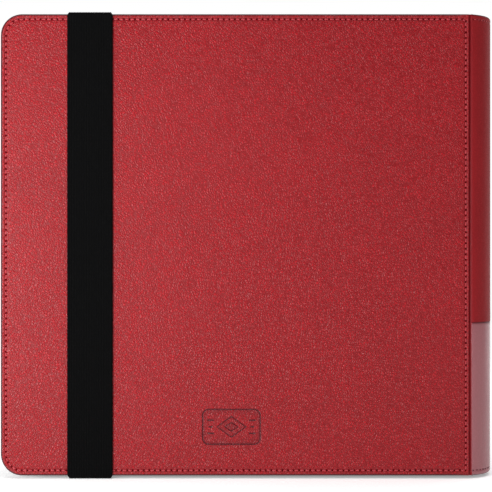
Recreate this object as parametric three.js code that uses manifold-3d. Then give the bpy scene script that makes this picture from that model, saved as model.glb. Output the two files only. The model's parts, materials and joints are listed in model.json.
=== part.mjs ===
// Trading card binder: two stitched, leather-covered boards on a rounded spine, twenty pocket leaves
// bound into the spine, and a wide elastic strap sewn to the rear cover and stretched over the front.
//
// Millimetres, +Z up. The binder stands upright on its lower edge. The front cover faces -Y, the
// spine is at +X and the fore-edge at -X. The origin is below the middle of the whole object.
import * as THREE from 'three';
import { mergeVertices } from 'three/addons/utils/BufferGeometryUtils.js';
import Module from 'manifold-3d';

// --- driving dimensions -------------------------------------------------------------------------
const COVER_WIDTH = 330;            // fore-edge to crease
const COVER_HEIGHT = 325;
const CORNER_RADIUS = 15;           // the two corners at the fore-edge
const SKIN = 0.8;                   // imitation leather
const BOARD = 2.2;                  // greyboard
const LINING = 0.5;
const LINING_INSET = 2;             // from the cover's edge

const BINDER_DEPTH = 48;            // outer face to outer face
const SPINE_BULGE = 17;             // how far the round spine stands out past the crease
const CREASE_WIDTH = 1.4;
const CREASE_FLOOR = 1.4;           // depth of the crease's flexible strip below the outer face
const CREASE_STRIP = 0.8;           // thickness of that strip
const CREASE_CLEARANCE = 0.05;      // each side of the strip
const LOWER_BAND_HEIGHT = 107;      // the spine's lower piece, in the second colour
const LOWER_BAND_SKIN = 0.5;

const STITCH_INSET = 3.8;           // edge to thread, on the three free sides and on the spine
const STITCH_INSET_AT_CREASE = 2.6;
const THREAD_WIDTH = 0.8;
const THREAD_SUNK = 0.05;           // the thread lies just under the outer face
const GROOVE_WIDTH = 1.2;           // pressed line that the thread lies in
const GROOVE_DEPTH = 0.3;

const STRAP_WIDTH = 32;
const STRAP_THICKNESS = 1.4;
const STRAP_FROM_FORE_EDGE = 47;    // fore-edge to the strap's near side
const STRAP_BEND = 2.6;             // outer radius where it wraps over an edge
const STRAP_SLACK_BELOW = 0.6;      // air between the lower edge and the strap
const STRAP_TAIL_LENGTH = 11.5;     // sewn to the rear cover's inner face
const STRAP_TAIL_THICKNESS = 1.2;

const LEAF_COUNT = 20;
const LEAF_PITCH = 2;
const LEAF_THICKNESS = 0.5;
const LEAF_WIDTH = 305;
const LEAF_HEIGHT = 300;
const LEAF_PIVOT_FROM_CREASE = 5;   // the leaves flex on a line this far inside the crease
const LEAF_ROOT_GAP = 0.3;          // flex line to the leaf's stiff part
const BLOCK_GAP = 0.6;              // flex line to the block that holds the leaves' tabs
const BLOCK_END = 1.4;              // the block reaches this far past the crease, into the spine
const STRIP_THICKNESS = 2;          // strip which carries the block across the spine
const STRIP_HALF_DEPTH = 18.8;
const STRIP_HEIGHT = 310;

const ARC_SEGMENTS = 28;
const CORNER_SEGMENTS = 10;

// --- derived positions --------------------------------------------------------------------------
const HALF_DEPTH = BINDER_DEPTH / 2;
const COVER_THICKNESS = SKIN + BOARD + LINING;
const TOTAL_WIDTH = COVER_WIDTH + CREASE_WIDTH + SPINE_BULGE;
const FORE_EDGE = -TOTAL_WIDTH / 2;
const COVER_END = FORE_EDGE + COVER_WIDTH;
const CREASE = COVER_END + CREASE_WIDTH / 2;
const SPINE_START = COVER_END + CREASE_WIDTH;
const SPINE_RADIUS = (HALF_DEPTH ** 2 + SPINE_BULGE ** 2) / (2 * SPINE_BULGE);
const SPINE_CENTRE = SPINE_START + SPINE_BULGE - SPINE_RADIUS;
const MIDDLE = STRAP_THICKNESS / 2; // Y of the plane midway between the covers
const BOTTOM = STRAP_THICKNESS + STRAP_SLACK_BELOW;
const TOP = BOTTOM + COVER_HEIGHT;
const INNER_FACE = HALF_DEPTH - COVER_THICKNESS;
const FRONT = -1;
const REAR = 1;

// --- materials ----------------------------------------------------------------------------------
const finish = (color, roughness) => new THREE.MeshStandardMaterial({ color, roughness, metalness: 0 });
const redLeather = () => finish(0x9c2a32, 0.5);
const mauveLeather = () => finish(0x9a686b, 0.45);
const redThread = () => finish(0xa8343c, 0.8);
const blackElastic = () => finish(0x131314, 0.9);
const darkLining = () => finish(0x26262a, 0.95);
const greyBoard = () => finish(0x8d8981, 0.95);
const pocketFilm = () => finish(0x34353a, 0.25);

// --- geometry helpers ---------------------------------------------------------------------------
const wasm = await Module();
wasm.setup();

function solid(geometry) {
  const plain = geometry.clone();
  plain.deleteAttribute('normal');
  plain.deleteAttribute('uv');
  const merged = mergeVertices(plain);
  return new wasm.Manifold(new wasm.Mesh({
    numProp: 3,
    vertProperties: new Float32Array(merged.attributes.position.array),
    triVerts: new Uint32Array(merged.index.array),
  }));
}

function geometryOf(manifold) {
  const mesh = manifold.getMesh();
  const geometry = new THREE.BufferGeometry();
  geometry.setAttribute('position', new THREE.BufferAttribute(mesh.vertProperties, 3));
  geometry.setIndex(new THREE.BufferAttribute(mesh.triVerts, 1));
  geometry.computeVertexNormals();
  return geometry;
}

// A box between two corners.
function block(x0, x1, y0, y1, z0, z1) {
  const box = new THREE.BoxGeometry(x1 - x0, y1 - y0, z1 - z0);
  return box.translate((x0 + x1) / 2, (y0 + y1) / 2, (z0 + z1) / 2);
}

// An upright plate: an outline drawn in X and Z, thickened from y0 to y1.
function plate(outline, y0, y1) {
  const options = { depth: y1 - y0, bevelEnabled: false, curveSegments: CORNER_SEGMENTS };
  return new THREE.ExtrudeGeometry(outline, options).rotateX(Math.PI / 2).translate(0, y1, 0);
}

// The cover's outline, drawn in by an inset. Only the fore-edge corners are round.
function coverOutline(inset, insetAtCrease = inset) {
  const left = FORE_EDGE + inset;
  const right = COVER_END - insetAtCrease;
  const low = BOTTOM + inset;
  const high = TOP - inset;
  const radius = CORNER_RADIUS - inset;
  const outline = new THREE.Shape();
  outline.moveTo(right, low);
  outline.lineTo(right, high);
  outline.lineTo(left + radius, high);
  outline.absarc(left + radius, high - radius, radius, Math.PI / 2, Math.PI);
  outline.lineTo(left, low + radius);
  outline.absarc(left + radius, low + radius, radius, Math.PI, 1.5 * Math.PI);
  outline.closePath();
  return outline;
}

// A closed loop that follows the stitching line of a cover.
function stitchLoop(width) {
  const loop = coverOutline(STITCH_INSET - width / 2, STITCH_INSET_AT_CREASE - width / 2);
  loop.holes.push(coverOutline(STITCH_INSET + width / 2, STITCH_INSET_AT_CREASE + width / 2));
  return loop;
}

// A layer of a cover between two depths below its outer face. The rear cover mirrors the front one.
function coverLayer(outline, side, depth0, depth1) {
  const a = MIDDLE + side * (HALF_DEPTH - depth0);
  const b = MIDDLE + side * (HALF_DEPTH - depth1);
  return plate(outline, Math.min(a, b), Math.max(a, b));
}

// A layer of the round spine between two radii and two heights, cut off square at the crease.
function spineLayer(outer, inner, z0, z1) {
  const cut = SPINE_START - SPINE_CENTRE;
  const outerAngle = Math.acos(cut / outer);
  const innerAngle = Math.acos(cut / inner);
  const outline = new THREE.Shape();
  outline.absarc(SPINE_CENTRE, MIDDLE, outer, -outerAngle, outerAngle);
  outline.absarc(SPINE_CENTRE, MIDDLE, inner, innerAngle, -innerAngle, true);
  outline.closePath();
  const options = { depth: z1 - z0, bevelEnabled: false, curveSegments: ARC_SEGMENTS };
  return new THREE.ExtrudeGeometry(outline, options).translate(0, 0, z0);
}

// --- assembly -----------------------------------------------------------------------------------
const binder = new THREE.Group();
binder.name = 'trading_card_binder';

function add(name, geometry, material) {
  const mesh = new THREE.Mesh(geometry, material);
  mesh.name = name;
  binder.add(mesh);
}

// Board, wrapped skin, lining and stitched thread of one cover.
function addCover(name, side) {
  const shell = solid(coverLayer(coverOutline(0), side, 0, SKIN + BOARD));
  const boardSpace = solid(coverLayer(coverOutline(SKIN), side, SKIN, SKIN + BOARD + LINING));
  const groove = solid(coverLayer(stitchLoop(GROOVE_WIDTH), side, -GROOVE_DEPTH, GROOVE_DEPTH));
  const skin = shell.subtract(boardSpace).subtract(groove);
  const lining = coverOutline(LINING_INSET);
  add(`${name}_skin`, geometryOf(skin), redLeather());
  add(`${name}_board`, coverLayer(coverOutline(SKIN), side, SKIN, SKIN + BOARD), greyBoard());
  add(`${name}_lining`, coverLayer(lining, side, SKIN + BOARD, COVER_THICKNESS), darkLining());
  add(`${name}_thread`, coverLayer(stitchLoop(THREAD_WIDTH), side, THREAD_SUNK, GROOVE_DEPTH), redThread());
}

// Flexible strip at the floor of the crease between one cover and the spine.
function addCrease(name, side) {
  const outerFace = MIDDLE + side * (HALF_DEPTH - CREASE_FLOOR);
  const innerFace = MIDDLE + side * (HALF_DEPTH - CREASE_FLOOR - CREASE_STRIP);
  const x0 = COVER_END + CREASE_CLEARANCE;
  const x1 = SPINE_START - CREASE_CLEARANCE;
  const y0 = Math.min(outerFace, innerFace);
  const y1 = Math.max(outerFace, innerFace);
  add(name, block(x0, x1, y0, y1, BOTTOM + SKIN, TOP - SKIN), redLeather());
}

// One piece of the spine's leather, from its joint with the other piece to its folded end.
function spineSkin(outer, z0, z1, endZ0, stitchZ) {
  const boardOuter = SPINE_RADIUS - SKIN;
  const boardInner = boardOuter - BOARD;
  const wall = solid(spineLayer(outer, boardOuter, z0, z1));
  const foldedEnd = solid(spineLayer(outer, boardInner, endZ0, endZ0 + SKIN));
  const half = GROOVE_WIDTH / 2;
  const groove = solid(spineLayer(outer + GROOVE_DEPTH, outer - GROOVE_DEPTH, stitchZ - half, stitchZ + half));
  return geometryOf(wall.add(foldedEnd).subtract(groove));
}

function spineThread(outer, stitchZ) {
  const half = THREAD_WIDTH / 2;
  return spineLayer(outer - THREAD_SUNK, outer - GROOVE_DEPTH, stitchZ - half, stitchZ + half);
}

function addSpine() {
  const boardOuter = SPINE_RADIUS - SKIN;
  const boardInner = boardOuter - BOARD;
  const bandOuter = boardOuter + LOWER_BAND_SKIN;
  const bandTop = BOTTOM + LOWER_BAND_HEIGHT;
  const upperStitch = TOP - STITCH_INSET;
  const lowerStitch = BOTTOM + STITCH_INSET;
  const upper = spineSkin(SPINE_RADIUS, bandTop, TOP, TOP - SKIN, upperStitch);
  const lower = spineSkin(bandOuter, BOTTOM, bandTop, BOTTOM, lowerStitch);
  add('spine_upper_skin', upper, redLeather());
  add('spine_lower_band', lower, mauveLeather());
  add('spine_board', spineLayer(boardOuter, boardInner, BOTTOM + SKIN, TOP - SKIN), greyBoard());
  add('spine_lining', spineLayer(boardInner, boardInner - LINING, BOTTOM + SKIN, TOP - SKIN), darkLining());
  add('spine_top_thread', spineThread(SPINE_RADIUS, upperStitch), redThread());
  add('spine_foot_thread', spineThread(bandOuter, lowerStitch), redThread());
  addCrease('front_crease_strip', FRONT);
  addCrease('rear_crease_strip', REAR);
}

// The leaves' tabs, bonded into one block, and the strip that carries it across the spine.
function addBinding() {
  const halfBlock = ((LEAF_COUNT - 1) * LEAF_PITCH + LEAF_THICKNESS) / 2;
  const centre = (BOTTOM + TOP) / 2;
  const blockStart = CREASE - LEAF_PIVOT_FROM_CREASE + BLOCK_GAP;
  const blockEnd = CREASE + BLOCK_END;
  const z0 = centre - LEAF_HEIGHT / 2;
  const z1 = centre + LEAF_HEIGHT / 2;
  add('leaf_tab_block', block(blockStart, blockEnd, MIDDLE - halfBlock, MIDDLE + halfBlock, z0, z1), darkLining());
  const s0 = centre - STRIP_HEIGHT / 2;
  const s1 = centre + STRIP_HEIGHT / 2;
  const y0 = MIDDLE - STRIP_HALF_DEPTH;
  const y1 = MIDDLE + STRIP_HALF_DEPTH;
  add('binding_strip', block(blockEnd, blockEnd + STRIP_THICKNESS, y0, y1, s0, s1), greyBoard());
}

function addLeaves() {
  const centre = (BOTTOM + TOP) / 2;
  const root = CREASE - LEAF_PIVOT_FROM_CREASE - LEAF_ROOT_GAP;
  const leaf = block(-LEAF_WIDTH, 0, -LEAF_THICKNESS / 2, LEAF_THICKNESS / 2, -LEAF_HEIGHT / 2, LEAF_HEIGHT / 2);
  for (let number = 1; number <= LEAF_COUNT; number += 1) {
    const mesh = new THREE.Mesh(leaf, pocketFilm());
    mesh.name = `leaf_${String(number).padStart(2, '0')}`;
    mesh.position.set(root, MIDDLE + (number - (LEAF_COUNT + 1) / 2) * LEAF_PITCH, centre);
    binder.add(mesh);
  }
}

// The strap's long U in profile: down the front cover, and back over the top and the bottom edges.
function strapProfile() {
  const outerY = -HALF_DEPTH - STRAP_THICKNESS;
  const innerY = -HALF_DEPTH;
  const endY = INNER_FACE;
  const high = TOP + STRAP_THICKNESS;
  const profile = new THREE.Shape();
  profile.moveTo(endY, 0);
  profile.lineTo(endY, STRAP_THICKNESS);
  profile.lineTo(innerY, STRAP_THICKNESS);
  profile.lineTo(innerY, TOP);
  profile.lineTo(endY, TOP);
  profile.lineTo(endY, high);
  profile.lineTo(outerY + STRAP_BEND, high);
  profile.absarc(outerY + STRAP_BEND, high - STRAP_BEND, STRAP_BEND, Math.PI / 2, Math.PI);
  profile.lineTo(outerY, STRAP_BEND);
  profile.absarc(outerY + STRAP_BEND, STRAP_BEND, STRAP_BEND, Math.PI, 1.5 * Math.PI);
  profile.closePath();
  return profile;
}

function addStrap() {
  const x0 = FORE_EDGE + STRAP_FROM_FORE_EDGE;
  const x1 = x0 + STRAP_WIDTH;
  const options = { depth: STRAP_WIDTH, bevelEnabled: false, curveSegments: CORNER_SEGMENTS };
  const strap = new THREE.ExtrudeGeometry(strapProfile(), options);
  // the profile is drawn in Y and Z: turn its plane from XY to YZ, so that it is thickened along X
  strap.rotateX(Math.PI / 2).rotateZ(Math.PI / 2).translate(x0, MIDDLE, 0);
  add('strap', strap, blackElastic());
  const y1 = MIDDLE + INNER_FACE;
  const y0 = y1 - STRAP_TAIL_THICKNESS;
  add('strap_tail_top', block(x0, x1, y0, y1, TOP - STRAP_TAIL_LENGTH, TOP), blackElastic());
  add('strap_tail_bottom', block(x0, x1, y0, y1, BOTTOM, BOTTOM + STRAP_TAIL_LENGTH), blackElastic());
}

addSpine();
addCover('front_cover', FRONT);
addCover('rear_cover', REAR);
addBinding();
addLeaves();
addStrap();

export default binder;
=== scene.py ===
"""The looks of a trading card binder: leather covers, two-tone spine, pocket leaves and an elastic strap.

Everything is in metres in the CAD model's frame: +Z up, front cover facing -Y, spine at +X.
"""

import json
import math

import bmesh
import bpy
import numpy as np
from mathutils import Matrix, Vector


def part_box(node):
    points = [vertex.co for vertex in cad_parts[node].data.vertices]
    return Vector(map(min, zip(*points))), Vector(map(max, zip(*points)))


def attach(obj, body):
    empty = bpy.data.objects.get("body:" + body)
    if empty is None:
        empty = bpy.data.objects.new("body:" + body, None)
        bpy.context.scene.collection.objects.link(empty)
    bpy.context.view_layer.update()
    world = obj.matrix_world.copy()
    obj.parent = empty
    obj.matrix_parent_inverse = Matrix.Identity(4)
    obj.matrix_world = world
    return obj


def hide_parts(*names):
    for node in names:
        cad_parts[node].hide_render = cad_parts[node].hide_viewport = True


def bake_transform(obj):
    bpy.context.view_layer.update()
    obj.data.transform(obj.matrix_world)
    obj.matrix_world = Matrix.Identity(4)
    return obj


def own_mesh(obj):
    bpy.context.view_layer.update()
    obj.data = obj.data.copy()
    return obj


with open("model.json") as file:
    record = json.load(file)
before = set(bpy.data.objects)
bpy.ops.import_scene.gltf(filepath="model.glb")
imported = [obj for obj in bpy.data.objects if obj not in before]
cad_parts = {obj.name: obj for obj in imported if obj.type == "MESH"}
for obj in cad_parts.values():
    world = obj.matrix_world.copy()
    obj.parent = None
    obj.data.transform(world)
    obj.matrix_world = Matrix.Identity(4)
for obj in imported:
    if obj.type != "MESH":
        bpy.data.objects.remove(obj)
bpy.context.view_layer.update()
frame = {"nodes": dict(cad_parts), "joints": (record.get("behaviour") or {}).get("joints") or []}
MM = 0.001

# --- places, from the CAD model ---------------------------------------------------------------
COVER_LOW, COVER_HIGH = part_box("front_cover_skin")
REAR_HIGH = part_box("rear_cover_skin")[1]
SPINE_LOW, SPINE_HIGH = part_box("spine_upper_skin")
STRAP_LOW, STRAP_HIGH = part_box("strap")
FORE_X, COVER_END = COVER_LOW.x, COVER_HIGH.x
BOTTOM, TOP = COVER_LOW.z, COVER_HIGH.z
FRONT_Y, REAR_Y = COVER_LOW.y, REAR_HIGH.y
MID_Y = (FRONT_Y + REAR_Y) / 2
HALF_DEPTH = (REAR_Y - FRONT_Y) / 2
SPINE_START, SPINE_END = SPINE_LOW.x, SPINE_HIGH.x
BAND_TOP = SPINE_LOW.z
BULGE = SPINE_END - SPINE_START
SPINE_RADIUS = (HALF_DEPTH ** 2 + BULGE ** 2) / (2 * BULGE)
SPINE_CENTRE = SPINE_END - SPINE_RADIUS
INNER_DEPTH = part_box("front_cover_lining")[1].y - FRONT_Y   # a cover's whole thickness
SKIN_DEPTH = COVER_HIGH.y - FRONT_Y                         # down to the skin's turned-in edge
STRAP_THICKNESS = FRONT_Y - STRAP_LOW.y
STRAP_X = (STRAP_LOW.x + STRAP_HIGH.x) / 2
JOINTS = {joint["name"]: joint for joint in frame["joints"]}
LEAVES = sorted(name for name in frame["nodes"] if name.startswith("leaf_") and name != "leaf_tab_block")

# --- sizes of the detail ----------------------------------------------------------------------
CORNER = 15 * MM                # round corners at the fore-edge
EDGE_ROUND = 1.7 * MM           # the leather's fold round the board
INNER_ROUND = 0.6 * EDGE_ROUND  # the same fold at the turned-in side
OUTLINE_STEPS = 4               # of each crease corner in a cover's outline
CREASE_POINTS = 2 * (OUTLINE_STEPS + 1)     # how many of the outline's points lie at the crease
CREASE_CORNER = 0.7 * MM        # corners of a cover at the crease
LINING_INSET = 2 * MM
LINING_SINK = 0.4               # how much of the pressed line's depth shows through the lining
SPINE_SINK = 0.7                # the pressed line's depth and width on the spine, against the covers'
STITCH_INSET = 3.8 * MM
STITCH_INSET_AT_CREASE = 2.6 * MM
CHANNEL_DEPTH = 0.3 * MM        # pressed line under the thread
CHANNEL_HALF_WIDTH = 1.6 * MM
FACE_INSET = 8 * MM             # inside this the outer face is flat
BAND_STEP = 0.18 * MM           # the spine's lower band lies this far below the upper piece
MARK_FROM_FORE_EDGE = 162.5 * MM
MARK_ABOVE_BOTTOM = 34.5 * MM
POCKET_COLUMNS, POCKET_ROWS = 4, 3
POCKET_SWELL = 0.3 * MM
TAIL_NARROWING = 0.93           # width of the strap's sewn ends, against the record's

FRONT, REAR = -1, 1


def arc(cx, cy, radius, start, end, steps):
    """Points on an arc between two angles in degrees, both ends included."""
    angles = np.radians(np.linspace(start, end, steps + 1))
    return np.column_stack((cx + radius * np.cos(angles), cy + radius * np.sin(angles)))


def smoothstep(t):
    t = np.clip(t, 0, 1)
    return t * t * (3 - 2 * t)


# --- camera, light and stage ------------------------------------------------------------------
CAMERA_DISTANCE = 0.96          # from the front cover
VIEW_WIDTH = 346.1 * MM         # what the picture spans at the front cover
SENSOR = 36.0


def add_camera():
    data = bpy.data.cameras.new("camera")
    data.sensor_width = SENSOR
    data.lens = SENSOR * CAMERA_DISTANCE / VIEW_WIDTH
    data.clip_start, data.clip_end = 0.05, 30
    camera = bpy.data.objects.new("camera", data)
    bpy.context.scene.collection.objects.link(camera)
    camera.location = (-1.5 * MM, FRONT_Y - CAMERA_DISTANCE, (BOTTOM + TOP) / 2 - 0.8 * MM)
    camera.rotation_euler = (math.radians(90), 0, 0)
    bpy.context.scene.camera = camera


def add_area_light(name, place, target, size, power):
    data = bpy.data.lights.new(name, "AREA")
    data.shape = "RECTANGLE"
    data.size, data.size_y = size
    data.energy = power
    light = bpy.data.objects.new(name, data)
    bpy.context.scene.collection.objects.link(light)
    light.location = place
    direction = target - np.array(place)
    light.rotation_euler = Vector(direction).to_track_quat("-Z", "Y").to_euler()


def add_studio():
    middle = np.array((0, MID_Y, (BOTTOM + TOP) / 2))
    add_area_light("key_softbox", (-0.54, FRONT_Y - 0.57, 0.165), middle, (0.36, 0.36), 6.8)
    add_area_light("fill_softbox", (1.05, -0.50, 0.35), middle, (0.7, 1.0), 0.8)
    add_area_light("rim_softbox", (0.70, 0.50, 0.35), middle, (0.6, 1.0), 1.5)
    overhead = bpy.data.lights.new("overhead", "SUN")
    overhead.energy, overhead.angle = 1.5, math.radians(50)
    light = bpy.data.objects.new("overhead", overhead)
    bpy.context.scene.collection.objects.link(light)
    light.rotation_euler = (math.radians(6), 0, 0)
    world = bpy.data.worlds.new("studio")
    bpy.context.scene.world = world
    world.use_nodes = True
    background = world.node_tree.nodes["Background"]
    background.inputs["Color"].default_value = (1, 1, 1, 1)
    n = Nodes(world.node_tree)
    height = n.add("SeparateXYZ")
    n.link(n.add("TexCoord").outputs["Generated"], height.inputs["Vector"])
    ambient = n.span(height.outputs["Z"], 0.06, 0.4)
    seen = n.add("LightPath").outputs["Is Camera Ray"]
    n.link(n.math("MAXIMUM", ambient, seen), background.inputs["Strength"])
    bpy.context.scene.view_settings.view_transform = "Standard"


def add_floor():
    size = 6
    mesh = bpy.data.meshes.new("floor")
    corners = [(-size, -size, 0), (size, -size, 0), (size, size, 0), (-size, size, 0)]
    mesh.from_pydata(corners, [], [(0, 1, 2, 3)])
    floor = bpy.data.objects.new("floor", mesh)
    bpy.context.scene.collection.objects.link(floor)
    material, shader, _ = new_material("pale_floor")
    shader.inputs["Base Color"].default_value = (0.93, 0.93, 0.93, 1)
    shader.inputs["Roughness"].default_value = 0.8
    shader.inputs["Specular IOR Level"].default_value = 0.1
    shader.inputs["Emission Color"].default_value = (1, 1, 1, 1)
    shader.inputs["Emission Strength"].default_value = 0.3
    mesh.materials.append(material)


# --- materials --------------------------------------------------------------------------------
class Nodes:
    """A short way to add and link a material's nodes."""

    def __init__(self, tree):
        self.tree = tree

    def add(self, kind, **settings):
        node = self.tree.nodes.new("ShaderNode" + kind)
        for key, value in settings.items():
            if hasattr(node, key):
                setattr(node, key, value)
            else:
                node.inputs[key.replace("_", " ")].default_value = value
        return node

    def link(self, source, target):
        self.tree.links.new(source, target)

    def put(self, socket, value):
        """Link a socket, or set a number or colour on it."""
        if isinstance(value, (int, float)):
            socket.default_value = value
        elif isinstance(value, tuple):
            socket.default_value = (*value, 1)
        else:
            self.link(value, socket)

    def place(self):
        """Object coordinates."""
        return self.add("TexCoord").outputs["Object"]

    def texture(self, kind, vector, **settings):
        node = self.add("Tex" + kind, **settings)
        self.link(vector, node.inputs["Vector"])
        return node

    def noise(self, vector, scale, detail=2.0, roughness=0.5, distortion=0.0):
        settings = {"Scale": scale, "Detail": detail, "Roughness": roughness, "Distortion": distortion}
        return self.texture("Noise", vector, **settings).outputs["Fac"]

    def ramp(self, value, stops):
        node = self.add("ValToRGB")
        while len(node.color_ramp.elements) < len(stops):
            node.color_ramp.elements.new(0.5)
        for element, (place, colour) in zip(node.color_ramp.elements, stops):
            element.position = place
            element.color = (*colour, 1)
        self.link(value, node.inputs["Fac"])
        return node.outputs["Color"]

    def math(self, operation, a, b):
        node = self.add("Math", operation=operation)
        self.put(node.inputs[0], a)
        self.put(node.inputs[1], b)
        return node.outputs["Value"]

    def span(self, value, low, high, start=0.0, end=1.0, smooth=False):
        """A value from one range, spread over another."""
        node = self.add("MapRange", interpolation_type="SMOOTHSTEP" if smooth else "LINEAR")
        node.inputs["From Min"].default_value = start
        node.inputs["From Max"].default_value = end
        node.inputs["To Min"].default_value = low
        node.inputs["To Max"].default_value = high
        self.link(value, node.inputs["Value"])
        return node.outputs["Result"]

    def mix(self, factor, a, b, mode="MIX"):
        node = self.add("Mix", data_type="RGBA", blend_type=mode)
        colours = [socket for socket in node.inputs if socket.type == "RGBA"]
        self.put(node.inputs[0], factor)
        self.put(colours[0], a)
        self.put(colours[1], b)
        return [socket for socket in node.outputs if socket.type == "RGBA"][0]

    def bump(self, height, distance, strength=1.0, under=None):
        node = self.add("Bump", Strength=strength, Distance=distance)
        self.link(height, node.inputs["Height"])
        if under is not None:
            self.link(under, node.inputs["Normal"])
        return node.outputs["Normal"]


def new_material(name):
    material = bpy.data.materials.new(name)
    material.use_nodes = True
    shader = material.node_tree.nodes["Principled BSDF"]
    return material, shader, Nodes(material.node_tree)


def leather(name, pale, deep, painted_shade, grain=1.6 * MM, relief=0.30 * MM, rough=(0.30, 0.42), specular=0.27):
    """Pebble-grained imitation leather: raised cells, paler crowns and darker valleys as painted highlight and
    painted shade, and painted shade in the folds, grooves and creases.
    """
    material, shader, n = new_material(name)
    place = n.place()
    wobble = n.texture("Noise", place, Scale=0.5 / grain, Detail=3.0)
    warped = n.add("VectorMath", operation="MULTIPLY_ADD")
    n.link(wobble.outputs["Color"], warped.inputs[0])
    warped.inputs[1].default_value = (0.9 * grain,) * 3
    n.link(place, warped.inputs[2])
    cell = warped.outputs["Vector"]
    pebbles = n.texture("Voronoi", cell, feature="F1", Scale=1 / grain)
    borders = n.texture("Voronoi", cell, feature="DISTANCE_TO_EDGE", Scale=1 / grain)
    crown = n.span(borders.outputs["Distance"], 0.0, 1.0, 0.0, 0.30, smooth=True)
    wrinkles = n.noise(place, 2.4 / grain, 4, 0.6)
    clouds = n.noise(place, 26, 3, 0.5)
    each = n.math("MULTIPLY", pebbles.outputs["Color"], 0.5)
    # the paler crowns and darker valleys are painted highlight and painted shade of the pebbles; each cell's
    # random tone is added to them
    lift = n.math("ADD", n.math("MULTIPLY", crown, 0.62), n.math("MULTIPLY", wrinkles, 0.35))
    tone = n.ramp(n.math("ADD", n.math("MULTIPLY", lift, 0.85), n.math("MULTIPLY", each, 0.36)),
                  ((0.22, deep), (0.82, pale)))
    shade = n.ramp(clouds, ((0.3, (0.93, 0.93, 0.93)), (0.7, (1.0, 1.0, 1.0))))
    colour = n.mix(1.0, tone, shade, "MULTIPLY")
    # painted shade: a per-vertex mask blends a dark colour into the rounded edges, grooves, stitch channels
    # and creases
    painted_shade_mask = n.add("Attribute", attribute_name="painted_shade")
    n.link(n.mix(painted_shade_mask.outputs["Fac"], colour, painted_shade), shader.inputs["Base Color"])
    n.link(n.span(crown, rough[1], rough[0]), shader.inputs["Roughness"])
    soft = n.bump(clouds, 0.4 * MM, 0.3)
    n.link(n.bump(lift, relief, 1.0, soft), shader.inputs["Normal"])
    shader.inputs["Specular IOR Level"].default_value = specular
    return material


def twisted_thread(name, colour):
    """Matt sewing thread: slanting plies, with paler fibres on their crowns."""
    material, shader, n = new_material(name)
    place = n.place()
    plies = n.texture("Wave", place, wave_type="BANDS", bands_direction="DIAGONAL", Scale=520, Distortion=0.6)
    fibre = n.noise(place, 5200, 3, 0.7)
    pale = tuple(min(1, 1.3 * c + 0.012) for c in colour)
    n.link(n.ramp(plies.outputs["Fac"], ((0.1, colour), (0.9, pale))), shader.inputs["Base Color"])
    height = n.math("ADD", plies.outputs["Fac"], n.math("MULTIPLY", fibre, 0.5))
    n.link(n.bump(height, 0.12 * MM, 0.8), shader.inputs["Normal"])
    shader.inputs["Roughness"].default_value = 0.75
    shader.inputs["Specular IOR Level"].default_value = 0.25
    shader.inputs["Sheen Weight"].default_value = 0.12
    return material


def needle_hole(name, rim, deep):
    """Leather round a needle hole, with painted shade that darkens it to nearly black at its middle."""
    material, shader, n = new_material(name)
    speck = n.noise(n.place(), 3000, 3)
    depth = n.add("Attribute", attribute_name="depth")
    # painted shade of the hole, from the depth attribute, with random specks
    hole_shade_and_speck = n.math("ADD", depth.outputs["Fac"], n.span(speck, -0.25, 0.25))
    n.link(n.ramp(hole_shade_and_speck, ((0.05, rim), (0.6, deep))), shader.inputs["Base Color"])
    n.link(n.bump(speck, 0.1 * MM), shader.inputs["Normal"])
    shader.inputs["Roughness"].default_value = 0.9
    shader.inputs["Specular IOR Level"].default_value = 0.05
    return material


def woven_elastic(name):
    """Black knitted elastic: lengthwise ribs crossed by fine picks, and a duller bloom of loose fibre."""
    material, shader, n = new_material(name)
    place = n.place()
    ribs = n.texture("Wave", place, wave_type="BANDS", bands_direction="X", Scale=180, Distortion=0.15)
    picks = n.texture("Wave", place, wave_type="BANDS", bands_direction="Z", Scale=330, Distortion=0.5)
    lint = n.noise(place, 900, 4, 0.7)
    weave = n.math("MULTIPLY", ribs.outputs["Fac"], picks.outputs["Fac"])
    tone = n.ramp(weave, ((0.1, (0.0022, 0.0022, 0.0023)), (0.9, (0.0052, 0.0052, 0.0054))))
    bloom = n.ramp(lint, ((0.45, (0.7, 0.7, 0.7)), (0.75, (1.3, 1.3, 1.3))))
    n.link(n.mix(1.0, tone, bloom, "MULTIPLY"), shader.inputs["Base Color"])
    height = n.math("ADD", weave, n.math("MULTIPLY", lint, 0.25))
    n.link(n.bump(height, 0.18 * MM, 0.9), shader.inputs["Normal"])
    n.link(n.span(lint, 0.8, 0.98), shader.inputs["Roughness"])
    shader.inputs["Specular IOR Level"].default_value = 0.03
    return material


def microfibre(name):
    """Dark brushed lining: short nap lying this way and that."""
    material, shader, n = new_material(name)
    place = n.place()
    nap = n.noise(place, 34, 5, 0.7, 0.8)
    pile = n.noise(place, 2600, 3, 0.7)
    colour = n.ramp(nap, ((0.3, (0.017, 0.017, 0.019)), (0.7, (0.024, 0.024, 0.027))))
    n.link(colour, shader.inputs["Base Color"])
    height = n.math("ADD", n.math("MULTIPLY", nap, 0.5), pile)
    n.link(n.bump(height, 0.15 * MM, 0.7), shader.inputs["Normal"])
    shader.inputs["Roughness"].default_value = 0.9
    shader.inputs["Sheen Weight"].default_value = 0.4
    shader.inputs["Specular IOR Level"].default_value = 0.25
    return material


def greyboard(name):
    """Pressed grey board with flecks of pulp."""
    material, shader, n = new_material(name)
    place = n.place()
    pulp = n.noise(place, 700, 5, 0.7)
    fleck = n.noise(place, 240, 2)
    tone = n.ramp(pulp, ((0.3, (0.2, 0.185, 0.165)), (0.7, (0.33, 0.31, 0.28))))
    spots = n.ramp(fleck, ((0.62, (1.0, 1.0, 1.0)), (0.7, (0.72, 0.7, 0.66))))
    n.link(n.mix(1.0, tone, spots, "MULTIPLY"), shader.inputs["Base Color"])
    n.link(n.bump(pulp, 0.1 * MM, 0.6), shader.inputs["Normal"])
    shader.inputs["Roughness"].default_value = 0.92
    return material


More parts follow.
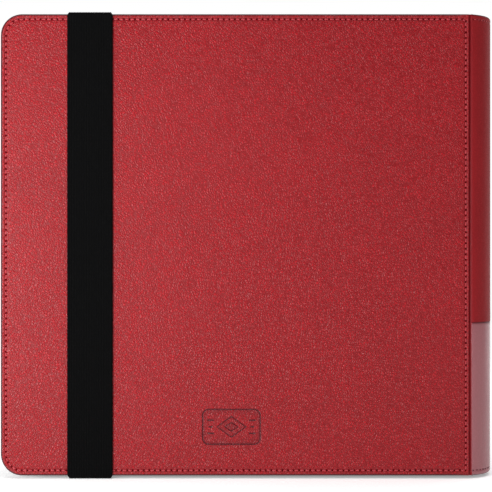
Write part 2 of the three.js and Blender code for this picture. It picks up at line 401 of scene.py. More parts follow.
def inner_sheet(name):
    """The leaf's opaque black sheet, embossed with a fine crepe."""
    material, shader, n = new_material(name)
    place = n.place()
    crepe = n.texture("Voronoi", place, feature="F1", Scale=1400)
    haze = n.noise(place, 30, 3)
    tone = n.ramp(haze, ((0.3, (0.010, 0.010, 0.011)), (0.7, (0.017, 0.017, 0.019))))
    n.link(tone, shader.inputs["Base Color"])
    n.link(n.bump(crepe.outputs["Distance"], 0.06 * MM, 0.5), shader.inputs["Normal"])
    n.link(n.span(haze, 0.42, 0.62), shader.inputs["Roughness"])
    shader.inputs["Specular IOR Level"].default_value = 0.35
    return material


def clear_film(name, alpha):
    """Clear polypropylene film: glossy, hardly tinted, with the ripples of its weld lines."""
    material, shader, n = new_material(name)
    place = n.place()
    ripple = n.noise(place, 45, 3, 0.5, 0.6)
    orange_peel = n.noise(place, 900, 2)
    tint = n.ramp(ripple, ((0.3, (0.06, 0.063, 0.067)), (0.7, (0.10, 0.105, 0.11))))
    n.link(tint, shader.inputs["Base Color"])
    height = n.math("ADD", ripple, n.math("MULTIPLY", orange_peel, 0.04))
    n.link(n.bump(height, 0.5 * MM, 0.4), shader.inputs["Normal"])
    n.link(n.span(orange_peel, 0.1, 0.24), shader.inputs["Roughness"])
    shader.inputs["Specular IOR Level"].default_value = 0.6
    shader.inputs["Alpha"].default_value = alpha
    return material


# --- mesh helpers -----------------------------------------------------------------------------
def new_piece(name, bm, material):
    """An object from a bmesh, with outward faces."""
    bmesh.ops.recalc_face_normals(bm, faces=bm.faces)
    mesh = bpy.data.meshes.new(name)
    bm.to_mesh(mesh)
    bm.free()
    return link_piece(name, mesh, material)


def link_piece(name, mesh, material):
    mesh.materials.append(material)
    piece = bpy.data.objects.new(name, mesh)
    bpy.context.scene.collection.objects.link(piece)
    return piece


def ring_verts(bm, points):
    return [bm.verts.new(p) for p in points]


def bridge(bm, a, b, closed=True):
    """Smooth quads between two rows of vertices."""
    count = len(a) if closed else len(a) - 1
    for i in range(count):
        j = (i + 1) % len(a)
        bm.faces.new((a[i], a[j], b[j], b[i])).smooth = True


def loft(bm, rings, closed=True):
    for a, b in zip(rings, rings[1:]):
        bridge(bm, a, b, closed)


def add_soft_box(bm, low, high, soft):
    """A box with its four upright edges and its ends rounded off."""
    cx, cy = (low[0] + high[0]) / 2, (low[1] + high[1]) / 2
    rings = []
    for z, inset in ((low[2], soft), (low[2] + soft, 0), (high[2] - soft, 0), (high[2], soft)):
        outline = rounded_box((high[0] - low[0]) / 2 - inset, (high[1] - low[1]) / 2 - inset, soft, 2)
        rings.append(ring_verts(bm, [(cx + x, cy + y, z) for x, y in outline]))
    loft(bm, rings)
    fill(bm, rings[0])
    fill(bm, rings[-1])


def loop_edges(bm, ring):
    pairs = [(ring[i], ring[i - 1]) for i in range(len(ring))]
    return [bm.edges.get(pair) or bm.edges.new(pair) for pair in pairs]


def fill(bm, *rings):
    """A flat face inside the first ring, with the other rings as holes."""
    edges = [edge for ring in rings for edge in loop_edges(bm, ring)]
    made = bmesh.ops.triangle_fill(bm, use_beauty=True, use_dissolve=False, edges=edges)
    for part in made["geom"]:
        if isinstance(part, bmesh.types.BMFace):
            part.smooth = False


# --- covers -----------------------------------------------------------------------------------
def cover_outline(inset, crease_inset=None):
    """Points round a cover in X and Z at an inset from its edge, with the same count at every inset."""
    x0 = FORE_X + inset
    x1 = COVER_END - (inset if crease_inset is None else crease_inset)
    z0, z1 = BOTTOM + inset, TOP - inset
    fore = max(CORNER - inset, 0.3 * MM)
    crease = max(CREASE_CORNER - inset, 0.25 * MM)
    near_crease = COVER_END - 12 * MM
    return np.vstack((
        arc(x1 - crease, z0 + crease, crease, -90, 0, OUTLINE_STEPS),
        arc(x1 - crease, z1 - crease, crease, 0, 90, OUTLINE_STEPS),
        [(near_crease, z1)],
        arc(x0 + fore, z1 - fore, fore, 90, 180, 14),
        arc(x0 + fore, z0 + fore, fore, 180, 270, 14),
        [(near_crease, z0)],
    ))


def cover_point(side, x, depth, z):
    """A place on a cover: depth is measured in from its outer face."""
    return (x, MID_Y + side * (HALF_DEPTH - depth), z)


def skin_profile():
    """(inset, inset at the crease, depth, painted shade) of the rings, from under the lining to the face."""
    profile = [(3 * MM, 3 * MM, SKIN_DEPTH, 0)]
    for angle in np.linspace(90, 0, 5):
        a = math.radians(angle)
        inset = INNER_ROUND * (1 - math.cos(a))
        # painted shade on the turned-in rounding
        profile.append((inset, inset, SKIN_DEPTH - INNER_ROUND * (1 - math.sin(a)), 0.8))
    for angle in np.linspace(0, 90, 13):
        a = math.radians(angle)
        inset = EDGE_ROUND * (1 - math.cos(a))
        # painted shade on the outer rounding, fading out towards the face
        painted_shade = float(1 - smoothstep((angle - 55) / 33))
        profile.append((inset, 0.6 * inset, EDGE_ROUND * (1 - math.sin(a)), painted_shade))
    return profile


def channel_profile():
    """(step across, depth) of the pressed line under the stitches, from its outer side inwards."""
    shape = ((1.0, 0), (0.84, 0.1), (0.68, 0.5), (0.54, 0.9), (0.42, 1))
    sides = [(CHANNEL_HALF_WIDTH * s, CHANNEL_DEPTH * d) for s, d in shape]
    return [(-s, d) for s, d in sides] + [(0, CHANNEL_DEPTH)] + sides[::-1]


def rounded_box(half_width, half_height, radius, steps=6):
    return np.vstack([
        arc(sx * (half_width - radius), sz * (half_height - radius), radius, start, start + 90, steps)
        for sx, sz, start in ((1, -1, -90), (1, 1, 0), (-1, 1, 90), (-1, -1, 180))
    ])


def rhombus(half_width, half_height):
    t = np.linspace(0, 2 * np.pi, 40, endpoint=False)
    cos, sin = np.cos(t), np.sin(t)
    reach = 1 / (np.abs(cos) + np.abs(sin))
    return np.column_stack((half_width * cos * reach, half_height * sin * reach))


def pressed_mark(bm, side, painted_shade_layer):
    """A plain frame with lozenges and bars, pressed into the leather. Returns the ring the face meets."""
    cx, cz = FORE_X + MARK_FROM_FORE_EDGE, BOTTOM + MARK_ABOVE_BOTTOM
    groove, floor, field, raised = 1.5 * MM, 0.5 * MM, 0.16 * MM, 0.05 * MM

    def rings(points_at, depths):
        made = []
        for inset, depth, painted_shade in depths:
            points = [cover_point(side, cx + x, depth, cz + z) for x, z in points_at(inset)]
            made.append(ring_verts(bm, points))
            for vert in made[-1]:
                vert[painted_shade_layer] = painted_shade
        loft(bm, made)
        return made

    def groove_depths(start, end):
        # each ring is (inset, depth, painted shade); the painted shade gathers on the groove's floor
        return [(0, start, 0), (0.12 * groove, start + 0.1 * floor, 0.5), (0.3 * groove, floor * 0.85, 0.8),
                (0.5 * groove, floor, 0.85), (0.7 * groove, floor * 0.85, 0.8),
                (0.88 * groove, end + 0.1 * floor, 0.5), (groove, end, 0.3)]

    def frame_at(inset):
        return rounded_box(21 * MM - inset, 13 * MM - inset, 5 * MM - inset)

    def lozenge_at(inset):
        return rhombus(11 * MM - inset, 8 * MM - inset)

    def small_at(inset):
        return rhombus(5.5 * MM - inset, 3.8 * MM - inset)

    plate = rings(frame_at, groove_depths(0, field))
    lozenge = rings(lozenge_at, groove_depths(field, raised))
    small = rings(small_at, groove_depths(raised, field))
    bars = []
    # (inset, depth, painted shade) of the bars' dents
    dent = [(0, field, 0), (0.3 * MM, floor * 0.8, 0.8), (0.6 * MM, floor, 0.9)]
    for bx in (-14.6 * MM, 14.6 * MM):
        for bz in (-4.6 * MM, 0, 4.6 * MM):
            half = 2.6 * MM if bz else 1.6 * MM

            def bar_at(inset):
                return rounded_box(half - inset, 0.8 * MM - inset, 0.75 * MM - inset, 4) + (bx, bz)

            bars.append(rings(bar_at, dent))
            fill(bm, bars[-1][-1])
    fill(bm, plate[-1], lozenge[0], *[bar[0] for bar in bars])
    fill(bm, lozenge[-1], small[0])
    fill(bm, small[-1])
    return plate[0]


def add_cover_skin(name, side, material, marked):
    bm = bmesh.new()
    painted_shade_layer = bm.verts.layers.float.new("painted_shade")
    rings = []

    def add_ring(inset, crease_inset, depth, painted_shade):
        points = cover_outline(inset, crease_inset)
        ring = ring_verts(bm, [cover_point(side, x, depth, z) for x, z in points])
        for number, vert in enumerate(ring):
            # painted shade along the rounded edge, weaker on the crease side
            vert[painted_shade_layer] = painted_shade * (0.3 if number < CREASE_POINTS else 1)
        rings.append(ring)

    for ring in skin_profile():
        add_ring(*ring)
    for step, depth in channel_profile():
        squeeze = 0.8 if step < 0 else 1
        at_crease = STITCH_INSET_AT_CREASE + step * squeeze
        # painted shade in the pressed line under the stitches, strongest at its bottom
        add_ring(STITCH_INSET + step, at_crease, depth, 0.12 * depth / CHANNEL_DEPTH)
    add_ring(FACE_INSET, FACE_INSET, 0, 0)
    loft(bm, rings)
    fill(bm, rings[0])
    holes = [pressed_mark(bm, side, painted_shade_layer)] if marked else []
    fill(bm, rings[-1], *holes)
    piece = new_piece(name + "_leather", bm, material)
    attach(piece, name)
    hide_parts(name + "_skin")


def add_cover_lining(name, side, material):
    """The cover's inside: a glued sheet with a soft edge, drawn down along the stitches."""
    bm = bmesh.new()
    rings = [
        (LINING_INSET, SKIN_DEPTH),
        (LINING_INSET, INNER_DEPTH - 0.2 * MM),
        (LINING_INSET + 0.08 * MM, INNER_DEPTH - 0.06 * MM),
        (LINING_INSET + 0.25 * MM, INNER_DEPTH),
    ]
    for step, depth in channel_profile():
        rings.append((STITCH_INSET + 0.85 * step, INNER_DEPTH - LINING_SINK * depth))
    rings.append((FACE_INSET, INNER_DEPTH))
    made = []
    for reach, depth in rings:
        made.append(ring_verts(bm, [cover_point(side, x, depth, z) for x, z in cover_outline(reach)]))
    loft(bm, made)
    fill(bm, made[0])
    fill(bm, made[-1])
    piece = new_piece(name + "_inside", bm, material)
    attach(piece, name)
    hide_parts(name + "_lining")


# --- stitching --------------------------------------------------------------------------------
def along(path, pitch, closed):
    """Places at equal steps along a path of points, and the directions there."""
    points = np.vstack((path, path[:1])) if closed else path
    steps = np.linalg.norm(np.diff(points, axis=0), axis=1)
    reach = np.concatenate(([0], np.cumsum(steps)))
    count = round(reach[-1] / pitch)
    spots = np.linspace(0, reach[-1], count + 1)
    if closed:
        spots = spots[:-1]
    place = np.column_stack([np.interp(spots, reach, points[:, k]) for k in range(3)])
    ahead = np.column_stack([np.interp(spots + 0.05 * pitch, reach, points[:, k]) for k in range(3)])
    behind = np.column_stack([np.interp(spots - 0.05 * pitch, reach, points[:, k]) for k in range(3)])
    direction = ahead - behind
    return place, direction / np.linalg.norm(direction, axis=1, keepdims=True)


def smooth_piece(name, verts, faces, material):
    mesh = bpy.data.meshes.new(name)
    mesh.from_pydata(verts, [], faces)
    mesh.polygons.foreach_set("use_smooth", [True] * len(mesh.polygons))
    return link_piece(name, mesh, material)


def facing_front(place):
    return np.tile((0.0, -1.0, 0.0), (len(place), 1))


def add_stitches(name, body, path, outward, style, closed=True, replaces=None):
    """A row of stitches along a path, with a needle hole between each two."""
    place, direction = along(path, style["pitch"], closed)
    normals = outward(place)
    count = len(place) if closed else len(place) - 1
    dice = np.random.default_rng(len(name))
    verts, faces = [], []
    # (along the stitch, girth, rise in millimetres)
    half = ((-0.38, 0.35, -0.12), (-0.28, 0.85, 0.0), (0, 1.0, 0.05))
    sections = half + tuple((-reach, girth, rise) for reach, girth, rise in half[1::-1])
    around, width, height = 8, style["thread"], 0.6 * style["thread"]
    for i in range(count):
        j = (i + 1) % len(place)
        middle = (place[i] + place[j]) / 2
        length = np.linalg.norm(place[j] - place[i])
        forward = (place[j] - place[i]) / length
        up = normals[i] + normals[j]
        up /= np.linalg.norm(up)
        across = np.cross(forward, up)
        slant = dice.normal(0.05, 0.02)
        start = len(verts)
        for reach, girth, rise in sections:
            centre = middle + forward * reach * length + across * slant * reach * length + up * rise * MM
            for a in np.linspace(0, 2 * np.pi, around, endpoint=False):
                offset = across * math.cos(a) * width + up * math.sin(a) * height
                verts.append(centre + offset * girth)
        for s in range(len(sections) - 1):
            for k in range(around):
                a, b = start + s * around + k, start + s * around + (k + 1) % around
                faces.append((a, b, b + around, a + around))
        faces.append(tuple(start + k for k in reversed(range(around))))
        faces.append(tuple(start + (len(sections) - 1) * around + k for k in range(around)))
    piece = smooth_piece(name, verts, faces, style["material"])
    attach(piece, body)
    if replaces:
        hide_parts(replaces)
    add_needle_holes(name + "_holes", body, place, direction, normals, style)


def add_needle_holes(name, body, place, direction, normals, style):
    """Shallow dimples with painted shade that darkens towards the middle. Each is a little out of line and out
    of round.
    """
    verts, faces, depths = [], [], []
    dice = np.random.default_rng(len(name))
    around = 10
    # (reach, lift, painted shade) of the dimple's rings
    dimple = ((1.0, 0.03, 0.0), (0.78, 0.05, 0.5), (0.45, 0.05, 1.0))
    for point, forward, up in zip(place, direction, normals):
        across = np.cross(forward, up)
        centre = point + across * dice.normal(0, 0.06) * MM
        radius = style["hole"] * dice.uniform(0.85, 1.12)
        start = len(verts)
        for reach, lift, depth in dimple:
            for a in np.linspace(0, 2 * np.pi, around, endpoint=False):
                ray = forward * math.cos(a) * 1.12 + across * math.sin(a) * 0.92
                verts.append(centre + ray * radius * reach + up * lift * MM)
                depths.append(depth)
        verts.append(centre + up * 0.03 * MM)
        depths.append(1.0)
        for s in range(len(dimple) - 1):
            for k in range(around):
                a, b = start + s * around + k, start + s * around + (k + 1) % around
                faces.append((a, b, b + around, a + around))
        inner, last = start + (len(dimple) - 1) * around, start + len(dimple) * around
        for k in range(around):
            faces.append((inner + k, inner + (k + 1) % around, last))
    piece = smooth_piece(name, verts, faces, style["hole_material"])
    # the depth attribute carries the painted shade of the hole
    layer = piece.data.attributes.new("depth", "FLOAT", "POINT")
    layer.data.foreach_set("value", depths)
    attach(piece, body)


def add_cover_stitches(name, side, style):
    outline = cover_outline(STITCH_INSET, STITCH_INSET_AT_CREASE)

    def row(depth):
        return np.array([cover_point(side, x, depth, z) for x, z in outline])

    def facing(sign):
        return lambda place: np.tile((0, sign, 0), (len(place), 1)).astype(float)

    add_stitches(name + "_stitches", name, row(CHANNEL_DEPTH), facing(side), style, replaces=name + "_thread")
    inside = cover_outline(STITCH_INSET)
    path = np.array([cover_point(side, x, INNER_DEPTH - LINING_SINK * CHANNEL_DEPTH, z) for x, z in inside])
    add_stitches(name + "_inner_stitches", name, path, facing(-side), style)


# --- spine ------------------------------------------------------------------------------------
def spine_section(outer, inner):
    """The spine wall in plan: points, normals, which lie outside, and which round the corner at the crease."""
    steps, corner_steps = 44, 6
    soft = 0.6 * MM
    cut = SPINE_START - SPINE_CENTRE
    outer_end = math.degrees(math.acos((cut + soft) / (outer - soft)))
    inner_end = math.degrees(math.acos(cut / inner))
    ends = []
    for sign in (1, -1):
        a = math.radians(outer_end)
        cx = (outer - soft) * math.cos(a)
        cy = sign * (outer - soft) * math.sin(a)
        ends.append(arc(cx, cy, soft, sign * outer_end, sign * 180, corner_steps))
    outer_arc = arc(0, 0, outer, -outer_end, outer_end, steps)
    inner_arc = arc(0, 0, inner, inner_end, -inner_end, steps)
    points = np.vstack((outer_arc[:-1], ends[0], inner_arc, ends[1][::-1][:-1]))
    on_outside = np.zeros(len(points))
    on_outside[: len(outer_arc)] = 1
    on_corner = np.zeros(len(points))
    on_corner[len(outer_arc): len(outer_arc) + corner_steps] = 1
    on_corner[1 - corner_steps:] = 1
    tangent = np.roll(points, -1, axis=0) - np.roll(points, 1, axis=0)
    normal = np.column_stack((tangent[:, 1], -tangent[:, 0]))
    normal /= np.linalg.norm(normal, axis=1, keepdims=True)
    return points + (SPINE_CENTRE, MID_Y), normal, on_outside, on_corner


def add_spine_piece(name, outer, inner, rings, material, node):
    """A length of spine wall, lofted upwards. A ring is (height, inset all round, dent outside, painted
    shade).
    """
    bm = bmesh.new()
    painted_shade_layer = bm.verts.layers.float.new("painted_shade")
    points, normal, on_outside, on_corner = spine_section(outer, inner)
    made = []
    for z, inset, dent, painted_shade in rings:
        moved = points - normal * (inset + dent * on_outside)[:, None]
        ring = ring_verts(bm, [(x, y, z) for x, y in moved])
        for vert, corner in zip(ring, on_corner):
            # painted shade, and at least some of it round the corner at the crease
            vert[painted_shade_layer] = max(painted_shade, 0.3 * corner)
        made.append(ring)
    loft(bm, made)
    fill(bm, made[0])
    fill(bm, made[-1])
    piece = new_piece(name, bm, material)
    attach(piece, "spine")
    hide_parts(node)


def rounded_end(z, direction, painted_shade):
    """Rings that round off a wall's end: direction is 1 where it comes up to z, -1 where it leaves it."""
    radius = 1.9 * MM
    rings = []
    for angle in np.linspace(0, 90, 10):
        a = math.radians(angle)
        height = z - direction * radius * (1 - math.sin(a))
        drawn_in = 1 - math.cos(a)
        # painted shade on the rounding as it turns away from the face
        dark = painted_shade * float(smoothstep((angle - 15) / 30))
        rings.append((height, 0.6 * MM * drawn_in, 1.3 * MM * drawn_in, dark))
    return rings if direction > 0 else rings[::-1]


def add_spine(red, mauve, lining):
    stitch_top, stitch_foot = TOP - STITCH_INSET, BOTTOM + STITCH_INSET
    wall = SPINE_RADIUS - SKIN_DEPTH
    channel = channel_profile()
    # the fourth number is painted shade, along the upper piece's rounded hem over the band
    upper = [(BAND_TOP, 0.9 * MM, 0, 1.0), (BAND_TOP + 0.2 * MM, 0.4 * MM, 0, 1.0),
             (BAND_TOP + 0.6 * MM, 0.08 * MM, 0, 0.9), (BAND_TOP + 1.1 * MM, 0, -0.05 * MM, 0.45),
             (BAND_TOP + 1.7 * MM, 0, -0.05 * MM, 0), (BAND_TOP + 9 * MM, 0, -0.05 * MM, 0),
             (BAND_TOP + 11 * MM, 0, 0, 0)]
    upper += [(stitch_top + SPINE_SINK * step, 0, SPINE_SINK * depth, 0) for step, depth in channel]
    upper += rounded_end(TOP, 1, 0.9)
    add_spine_piece("spine_upper_leather", SPINE_RADIUS, wall, upper, red, "spine_upper_skin")
    lower = rounded_end(BOTTOM, -1, 0.9)
    lower += [(stitch_foot + SPINE_SINK * step, 0, SPINE_SINK * depth, 0) for step, depth in channel]
    # painted shade at the band's top, under the hem
    lower += [(BAND_TOP - 1 * MM, 0, 0, 0), (BAND_TOP + 0.4 * MM, 0, 0, 0.3)]
    band = SPINE_RADIUS - BAND_STEP
    add_spine_piece("spine_band_leather", band, wall, lower, mauve, "spine_lower_band")
    soft = 0.25 * MM
    low, high = BOTTOM + 0.9 * MM, TOP - 0.9 * MM
    sheet = [(low, 0.1 * MM, 0, 0), (low + soft, 0, 0, 0), (high - soft, 0, 0, 0), (high, 0.1 * MM, 0, 0)]
    inner = SPINE_RADIUS - INNER_DEPTH
    add_spine_piece("spine_inside", wall - 0.02 * MM, inner, sheet, lining, "spine_lining")


def add_spine_stitches(red_style, mauve_style):
    cut = SPINE_START - SPINE_CENTRE

    def row(radius, z):
        end = math.degrees(math.acos(cut / radius)) - 3.5
        plan = arc(SPINE_CENTRE, MID_Y, radius, -end, end, 60)
        return np.column_stack((plan, np.full(len(plan), z)))

    def outward(place):
        flat = place - (SPINE_CENTRE, MID_Y, 0)
        flat[:, 2] = 0
        return flat / np.linalg.norm(flat, axis=1, keepdims=True)

    upper = row(SPINE_RADIUS - SPINE_SINK * CHANNEL_DEPTH, TOP - STITCH_INSET)
    lower = row(SPINE_RADIUS - BAND_STEP - SPINE_SINK * CHANNEL_DEPTH, BOTTOM + STITCH_INSET)
    add_stitches("spine_top_stitches", "spine", upper, outward, red_style, False, "spine_top_thread")
    add_stitches("spine_foot_stitches", "spine", lower, outward, mauve_style, False, "spine_foot_thread")


# --- creases ----------------------------------------------------------------------------------
def add_crease(name, side, depth_at, x0, x1, z0, z1, material, node):
    """A thin flexible strip across the hinge. depth_at(across, from the nearer end) gives depth and painted
    shade.
    """
    bm = bmesh.new()
    painted_shade_layer = bm.verts.layers.float.new("painted_shade")
    across = np.linspace(0, 1, 14)
    end = np.array((0, 0.1, 0.3, 0.7, 1.4, 2.2, 3.2, 4.4, 6.0)) * MM
    levels = np.concatenate((z0 + end, np.linspace(z0 + 12 * MM, z1 - 12 * MM, 36), z1 - end[::-1]))
    thickness = 0.35 * MM
    layers = []
    for lift in (0, thickness):
        grid = []
        for z in levels:
            shape = [depth_at(t, min(z - z0, z1 - z)) for t in across]
            places = [(x0 + (x1 - x0) * t, depth + lift) for t, (depth, _) in zip(across, shape)]
            row = ring_verts(bm, [cover_point(side, x, depth, z) for x, depth in places])
            for vert, (_, painted_shade) in zip(row, shape):
                vert[painted_shade_layer] = painted_shade
            grid.append(row)
        layers.append(grid)
        loft(bm, grid, closed=False)
    outer, inner = layers
    for k in (0, -1):
        bridge(bm, outer[k], inner[k], closed=False)
        bridge(bm, [row[k] for row in outer], [row[k] for row in inner], closed=False)
    piece = new_piece(name, bm, material)
    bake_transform(piece)
    if node:
        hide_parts(node)


def add_creases(skin, lining):
    def groove(t, from_end):
        raised = float(1 - smoothstep(from_end / (5 * MM)))
        sag = math.sin(math.pi * t)
        over_end = max(EDGE_ROUND - from_end, 0)
        rounding = EDGE_ROUND - math.sqrt(EDGE_ROUND ** 2 - over_end ** 2)
        # depth, and painted shade that is darkest along the groove's middle
        return (0.5 + (0.75 - 0.5 * raised) * sag) * MM + rounding, sag ** 0.6 * (1 - 0.3 * raised)

    def inside(t, from_end):
        return INNER_DEPTH + (0.02 + 0.45 * math.sin(math.pi * t)) * MM, 0

    for side, cover in ((FRONT, "front_cover"), (REAR, "rear_cover")):
        word = cover.split("_")[0]
        add_crease(word + "_crease_fold", side, groove, COVER_END - 0.55 * MM, SPINE_START + 0.35 * MM,
                   BOTTOM, TOP, skin, word + "_crease_strip")
        add_crease(word + "_crease_lining", side, inside, COVER_END - 3 * MM, SPINE_START + 1.0 * MM,
                   BOTTOM + 2 * MM, TOP - 2 * MM, lining, None)


# --- strap ------------------------------------------------------------------------------------
def add_strap(material):
    """The elastic's U: a ribbed band down the front and back over both edges, narrower over the edges."""
    bend = 2.6 * MM
    gap = 0.1 * MM
    half_thickness = (STRAP_THICKNESS - gap) / 2
    mid_y = FRONT_Y - gap - half_thickness
    back_y = STRAP_HIGH.y
    low, high = STRAP_LOW.z + half_thickness, STRAP_HIGH.z - half_thickness
    r = bend - half_thickness
    over_top = [(y, high) for y in np.linspace(back_y, mid_y + r, 12)[:-1]]
    down = [(mid_y, z) for z in np.linspace(high - r, low + r, 90)[1:-1]]
    under = [(y, low) for y in np.linspace(mid_y + r, back_y, 12)[1:]]
    path = np.vstack((over_top, arc(mid_y + r, high - r, r, 90, 180, 10), down,
                      arc(mid_y + r, low + r, r, 180, 270, 10), under))
    tangent = np.gradient(path, axis=0)
    tangent /= np.linalg.norm(tangent, axis=1, keepdims=True)
    outward = np.column_stack((tangent[:, 1], -tangent[:, 0]))
    section = strap_section((STRAP_HIGH.x - STRAP_LOW.x) / 2, half_thickness)
    bm = bmesh.new()
    rings = []
    for (y, z), (ny, nz) in zip(path, outward):
        over_edge = max(z - (TOP - 1.6 * MM), (BOTTOM + 1.6 * MM) - z, 0) / (2.9 * MM)
        narrow = 1 - 0.075 * float(smoothstep(over_edge)) ** 1.5
        rings.append(ring_verts(bm, [(STRAP_X + u * narrow, y + ny * v, z + nz * v) for u, v in section]))
    loft(bm, rings)
    fill(bm, rings[0])
    fill(bm, rings[-1])
    piece = new_piece("strap_elastic", bm, material)
    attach(piece, "strap")
    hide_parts("strap")
    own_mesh(piece)


def strap_section(half_width, half_thickness):
    """Across the strap: shallow lengthwise ribs on both faces, between two round edge cords."""
    ribs, cord = 14, 1.3 * MM
    u = np.linspace(-half_width + cord, half_width - cord, ribs * 6 + 1)
    wave = 0.07 * MM * (0.5 - 0.5 * np.cos(2 * np.pi * ribs * (u - u[0]) / (u[-1] - u[0])))
    face = half_thickness - 0.12 * MM + wave
    right = arc(half_width - cord / 2, 0, cord / 2, 80, -80, 8) * (1, half_thickness / (cord / 2))
    left = right[::-1] * (-1, 1)
    return np.vstack((np.column_stack((u, face)), right, np.column_stack((u[::-1], -face[::-1])), left))


def add_strap_tails(material, style):
    """The strap's two ends, sewn flat inside the rear cover with a box of stitches."""
    for word, sign, edge in (("top", 1, TOP), ("bottom", -1, BOTTOM)):
        node = "strap_tail_" + word
        low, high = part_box(node)
        half = (high.y - low.y) / 2
        y = (high.y + low.y) / 2
        half_width = (high.x - low.x) / 2 * TAIL_NARROWING
        section = strap_section(half_width, half)
        length = high.z - low.z
        rings = []
        bm = bmesh.new()
        for reach, thin in ((0, 0.35), (0.15, 0.75), (0.5, 0.95), (1.2, 1.0), (length / MM - 1.0, 1.0),
                            (length / MM - 0.2, 0.95), (length / MM + 0.1, 0.6)):
            z = edge - sign * (length - reach * MM)
            rings.append(ring_verts(bm, [(STRAP_X + u, y + v * thin, z) for u, v in section]))
        loft(bm, rings)
        fill(bm, rings[0])
        fill(bm, rings[-1])
        piece = new_piece(node + "_elastic", bm, material)
        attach(piece, "rear_cover")
        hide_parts(node)
        wide, tall = half_width - 2.2 * MM, length / 2 - 2.4 * MM
        middle = (low.z + high.z) / 2
        box = rounded_box(wide, tall, 0.3 * MM, 2)
        path = np.array([(STRAP_X + x, low.y + 0.08 * MM, middle + z) for x, z in box])
        add_stitches(node + "_stitches", "rear_cover", path, facing_front, style)


# --- leaves -----------------------------------------------------------------------------------
def add_leaves(sheet, film):
    for name in LEAVES:
        add_leaf_sheet(name, sheet)
        add_pockets(name, film)


def add_leaf_sheet(name, material):
    """The leaf's opaque sheet: rounded at its outer corners and thinned along its edges."""
    low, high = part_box(name)
    middle, half = (low.y + high.y) / 2, (high.y - low.y) / 2
    bm = bmesh.new()
    rings = []
    for inset, lift in ((0, -0.3), (0, 0.3), (0.1 * MM, 0.55), (0.6 * MM, 0.7), (3 * MM, 0.7)):
        x0, x1 = low.x + inset, high.x - inset
        z0, z1 = low.z + inset, high.z - inset
        fore, root = max(4 * MM - inset, 0.5 * MM), 0.5 * MM
        outline = np.vstack((
            arc(x1 - root, z0 + root, root, -90, 0, 2),
            arc(x1 - root, z1 - root, root, 0, 90, 2),
            arc(x0 + fore, z1 - fore, fore, 90, 180, 6),
            arc(x0 + fore, z0 + fore, fore, 180, 270, 6),
        ))
        rings.append([(x, middle + half * lift, z) for x, z in outline])
    near = [ring_verts(bm, ring) for ring in rings]
    far = [ring_verts(bm, [(x, 2 * middle - y, z) for x, y, z in ring]) for ring in rings[2:]]
    loft(bm, far[::-1] + near)
    fill(bm, near[-1])
    fill(bm, far[-1])
    piece = new_piece(name + "_sheet", bm, material)
    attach(piece, name)
    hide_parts(name)


def pocket_edges(low, high, count, margin):
    """Where the pockets of one row or column start and end, inside a margin at each end."""
    edges = np.linspace(low, high, count + 1)
    return [(a + margin, b - margin) for a, b in zip(edges, edges[1:])]


def add_pockets(name, film):
    """The welded clear pockets on both faces of one leaf, and the flexing web at its root."""
    low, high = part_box(name)
    hinge = np.array(JOINTS[name + "_hinge"]["pos_m"])
    middle, half = (low.y + high.y) / 2, (high.y - low.y) / 2
    bm = bmesh.new()
    weld, binding, rim = 1.2 * MM, 14 * MM, 3 * MM
    columns = pocket_edges(low.x + rim, high.x - binding, POCKET_COLUMNS, weld)
    rows = pocket_edges(low.z + rim, high.z - rim, POCKET_ROWS, weld)
    steps = np.array((0, 0.012, 0.03, 0.08, 0.2, 0.35, 0.5, 0.65, 0.8, 0.92, 0.97, 0.988, 1.0))
    side_swell = smoothstep(steps / 0.06) * smoothstep((1 - steps) / 0.06)
    dice = np.random.default_rng(int(name[-2:]))
    for side in (-1, 1):
        face = middle + side * 0.74 * half
        for x0, x1 in columns:
            for z0, z1 in rows:
                full = dice.uniform(0.7, 1.0)
                grid = []
                for tz, swell_z in zip(steps, side_swell):
                    across = smoothstep(steps / 0.06) * (1 - 0.5 * smoothstep((steps - 0.93) / 0.07))
                    rise = POCKET_SWELL * full * swell_z * across
                    z = z0 + (z1 - z0) * tz
                    points = [(x0 + (x1 - x0) * tx, face + side * r, z) for tx, r in zip(steps, rise)]
                    grid.append(ring_verts(bm, points))
                loft(bm, grid, closed=False)
    web_start, web_end = hinge[0] + 1.4 * MM, high.x - 3 * MM
    levels = np.linspace(low.z, high.z, 24)
    for y in (middle - 0.12 * MM, middle + 0.12 * MM):
        web = [ring_verts(bm, [(x, y, z) for z in levels]) for x in np.linspace(web_end, web_start, 8)]
        loft(bm, web, closed=False)
    piece = new_piece(name + "_pockets", bm, film)
    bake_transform(piece)


def add_tabs(tab_material, spacer_material):
    """The leaves' tabs and the spacers bonded between them, all with softened edges."""
    low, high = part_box("leaf_tab_block")
    tabs, spacers = bmesh.new(), bmesh.new()
    places = [(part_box(name)[0].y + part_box(name)[1].y) / 2 for name in LEAVES]
    tab_half = (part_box(LEAVES[0])[1].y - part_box(LEAVES[0])[0].y) / 2
    for y in places:
        add_soft_box(tabs, (low.x, y - tab_half, low.z), (high.x, y + tab_half, high.z), 0.12 * MM)
    recess = 0.5 * MM
    for y0, y1 in zip(places, places[1:]):
        near, far = y0 + tab_half, y1 - tab_half
        corner = (low.x + recess, near, low.z + recess)
        add_soft_box(spacers, corner, (high.x, far, high.z - recess), 0.2 * MM)
    for name, bm, material in (("leaf_tabs", tabs, tab_material), ("tab_spacers", spacers, spacer_material)):
        piece = new_piece(name, bm, material)
        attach(piece, "spine")
        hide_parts("leaf_tab_block")


# --- CAD parts that keep their shape ----------------------------------------------------------
def dress(material, *nodes):
    for node in nodes:
        slots = frame["nodes"][node].data.materials
        slots.clear()
        slots.append(material)


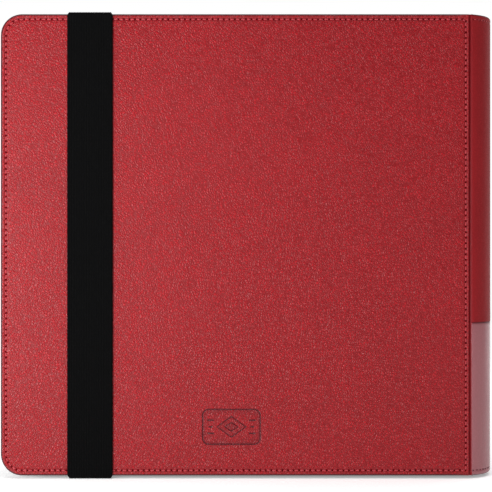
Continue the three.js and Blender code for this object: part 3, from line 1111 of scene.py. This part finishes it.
def main():
    add_camera()
    add_studio()
    add_floor()
    # the colour of the painted shade on the leather's rounded edges, grooves and stitch channels
    red_painted_shade = (0.050, 0.0050, 0.0085)
    red = leather("red_pebble_leather", (0.336, 0.0068, 0.0118), (0.192, 0.0026, 0.0054), red_painted_shade)
    smooth_red = leather("red_spine_leather", (0.275, 0.0080, 0.0115), (0.235, 0.0060, 0.0090), red_painted_shade,
                         relief=0.05 * MM, rough=(0.50, 0.62), specular=0.16)
    # the fourth colour is the band's painted shade at its rounded ends and top
    mauve = leather("mauve_spine_leather", (0.312, 0.077, 0.091), (0.275, 0.066, 0.079), (0.10, 0.016, 0.026),
                    relief=0.03 * MM, rough=(0.30, 0.42), specular=0.7)
    # the colour of the painted shade in the crease's groove
    crease_fold = (0.150, 0.0012, 0.0040)
    crease_red = leather("red_crease_leather", (0.28, 0.009, 0.0135), (0.20, 0.006, 0.010), crease_fold,
                         relief=0.05 * MM, specular=0.1)
    hole = needle_hole("needle_hole_red", (0.17, 0.005, 0.009), (0.075, 0.0004, 0.0015))
    mauve_hole = needle_hole("needle_hole_mauve", (0.22, 0.07, 0.09), (0.055, 0.012, 0.02))
    elastic = woven_elastic("black_elastic")
    lining = microfibre("dark_lining")
    board = greyboard("grey_board")
    sheet = inner_sheet("black_inner_sheet")
    film = clear_film("clear_pocket_film", 0.4)
    cover_style = {"pitch": 3.9 * MM, "thread": 0.39 * MM, "hole": 0.96 * MM, "hole_material": hole,
                   "material": twisted_thread("red_thread", (0.35, 0.028, 0.038))}
    spine_style = {"pitch": 3.1 * MM, "thread": 0.30 * MM, "hole": 0.5 * MM, "hole_material": hole,
                   "material": cover_style["material"]}
    mauve_style = {"pitch": 3.1 * MM, "thread": 0.32 * MM, "hole": 0.66 * MM, "hole_material": mauve_hole,
                   "material": twisted_thread("mauve_thread", (0.26, 0.085, 0.10))}
    black_hole = needle_hole("needle_hole_black", (0.004, 0.004, 0.004), (0.001, 0.001, 0.001))
    black_style = {"pitch": 1.9 * MM, "thread": 0.22 * MM, "hole": 0.28 * MM, "hole_material": black_hole,
                   "material": twisted_thread("black_thread", (0.016, 0.016, 0.017))}

    for name, side in (("front_cover", FRONT), ("rear_cover", REAR)):
        add_cover_skin(name, side, red, marked=side == FRONT)
        add_cover_lining(name, side, lining)
        add_cover_stitches(name, side, cover_style)
    add_spine(smooth_red, mauve, lining)
    add_spine_stitches(spine_style, mauve_style)
    add_creases(crease_red, lining)
    add_strap(elastic)
    add_strap_tails(elastic, black_style)
    add_leaves(sheet, film)
    add_tabs(sheet, lining)
    dress(board, "front_cover_board", "rear_cover_board", "spine_board", "binding_strip")


main()
